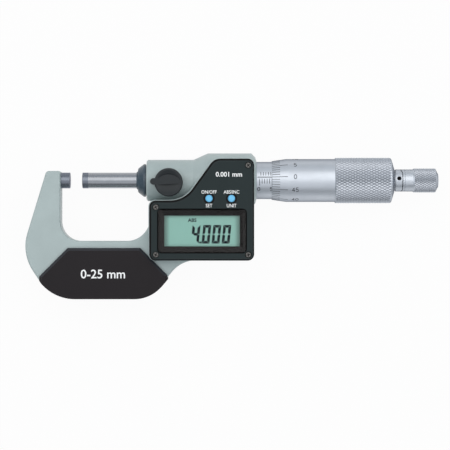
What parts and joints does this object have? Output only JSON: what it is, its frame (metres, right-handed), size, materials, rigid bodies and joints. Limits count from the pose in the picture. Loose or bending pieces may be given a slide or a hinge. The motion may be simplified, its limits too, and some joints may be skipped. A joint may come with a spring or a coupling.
{
  "type": "digital outside micrometer",
  "caption": "Digital outside micrometer with C-frame, display housing, push buttons, spindle lock, graduated sleeve and thimble, and ratchet stop",
  "frame": {"origin": "centre of the anvil's measuring face", "axes": "+X along the spindle axis towards the ratchet, +Y across the frame from its bow towards the thimble, +Z out of the display; the object lies on the back of its display housing"},
  "size_m": [0.1662, 0.0587, 0.0246],
  "materials": {
    "frame": "satin light blue-green grey paint",
    "anvil": "ground steel",
    "anvil_tip": "lapped carbide",
    "spindle": "ground steel",
    "spindle_tip": "lapped carbide",
    "spindle_seal": "black rubber",
    "front_pad": "black moulded plastic",
    "back_pad": "black moulded plastic",
    "panel_gasket": "black rubber",
    "front_panel": "dark green-black moulded plastic",
    "panel_screws": "blackened steel",
    "display_window": "clear plastic window",
    "display_mask": "brownish black print",
    "lcd": "grey-green liquid crystal display",
    "lcd_holder": "white moulded plastic",
    "lcd_connectors": "zebra rubber",
    "circuit_board": "green lacquered board",
    "board_components": "black moulded chips",
    "switches": "tact switches",
    "on_off_button": "light blue plastic",
    "unit_button": "light blue plastic",
    "button_seals": "black rubber rings",
    "cell_contact": "sprung brass leaf",
    "button_cell": "nickel-plated coin cell",
    "battery_cap": "black moulded plastic",
    "battery_oring": "black rubber",
    "lock_knob": "black moulded plastic",
    "lock_stud": "turned steel",
    "lock_shoe": "turned brass",
    "stem": "turned steel",
    "adjusting_nut": "turned steel",
    "sleeve": "satin chrome",
    "encoder_stator": "green encoder board",
    "encoder_rotor": "moulded rotor with printed tracks",
    "thimble": "satin chrome",
    "ratchet_hub": "satin chrome",
    "ratchet_disc": "satin chrome",
    "ratchet_springs": "spring steel",
    "ratchet_screw": "blackened steel",
    "ratchet_knob": "satin chrome"
  },
  "bodies": {
    "frame": {"frame": "frame", "anvil": "anvil", "anvil_tip": "anvil_tip", "spindle_seal": "spindle_seal", "front_pad": "front_pad", "back_pad": "back_pad", "panel_gasket": "panel_gasket", "front_panel": "front_panel", "panel_screws": "panel_screws", "display_window": "display_window", "display_mask": "display_mask", "lcd": "lcd", "lcd_holder": "lcd_holder", "lcd_connectors": "lcd_connectors", "circuit_board": "circuit_board", "board_components": "board_components", "switches": "switches", "button_seals": "button_seals", "cell_contact": "cell_contact", "button_cell": "button_cell", "lock_shoe": "lock_shoe", "stem": "stem", "adjusting_nut": "adjusting_nut", "sleeve": "sleeve", "encoder_stator": "encoder_stator"},
    "encoder": {"encoder_rotor": "encoder_rotor"},
    "measuring_spindle": {"spindle": "spindle", "spindle_tip": "spindle_tip", "thimble": "thimble", "ratchet_hub": "ratchet_hub", "ratchet_disc": "ratchet_disc", "ratchet_springs": "ratchet_springs", "ratchet_screw": "ratchet_screw"},
    "ratchet": {"ratchet_knob": "ratchet_knob"},
    "lock": {"lock_knob": "lock_knob", "lock_stud": "lock_stud"},
    "on_off": {"on_off_button": "on_off_button"},
    "unit": {"unit_button": "unit_button"},
    "cap_slide": {"battery_oring": "battery_oring"},
    "cap": {"battery_cap": "battery_cap"}
  },
  "joints": [
    {"name": "thimble_turn", "type": "hinge", "parent": "frame", "child": "encoder", "pos_m": [0.057, 0, 0], "axis": [1, 0, 0], "range_deg": [-3600, 14400]},
    {"name": "spindle_feed", "type": "slide", "parent": "encoder", "child": "measuring_spindle", "axis": [1, 0, 0], "range_m": [-0.005, 0.02]},
    {"name": "ratchet_turn", "type": "hinge", "parent": "measuring_spindle", "child": "ratchet", "pos_m": [0.14, 0, 0], "axis": [1, 0, 0], "continuous": true},
    {"name": "lock_turn", "type": "hinge", "parent": "frame", "child": "lock", "pos_m": [0.04005, -0.00095, 0.0087], "axis": [0, 0, 1], "range_deg": [-60, 0]},
    {"name": "on_off_press", "type": "slide", "parent": "frame", "child": "on_off", "axis": [0, 0, -1], "range_m": [0, 0.0004], "stiffness_N_per_m": 2500},
    {"name": "unit_press", "type": "slide", "parent": "frame", "child": "unit", "axis": [0, 0, -1], "range_m": [0, 0.0004], "stiffness_N_per_m": 2500},
    {"name": "cap_feed", "type": "slide", "parent": "frame", "child": "cap_slide", "axis": [0, 0, -1], "range_m": [0, 0.003]},
    {"name": "cap_turn", "type": "hinge", "parent": "cap_slide", "child": "cap", "pos_m": [0.06, -0.02037, -0.0109], "axis": [0, 0, -1], "range_deg": [0, 1440]}
  ],
  "couplings": [
    {"joint": "thimble_turn", "follows": "spindle_feed", "rad_per_m": 12566},
    {"joint": "cap_turn", "follows": "cap_feed", "rad_per_m": 8377}
  ]
}
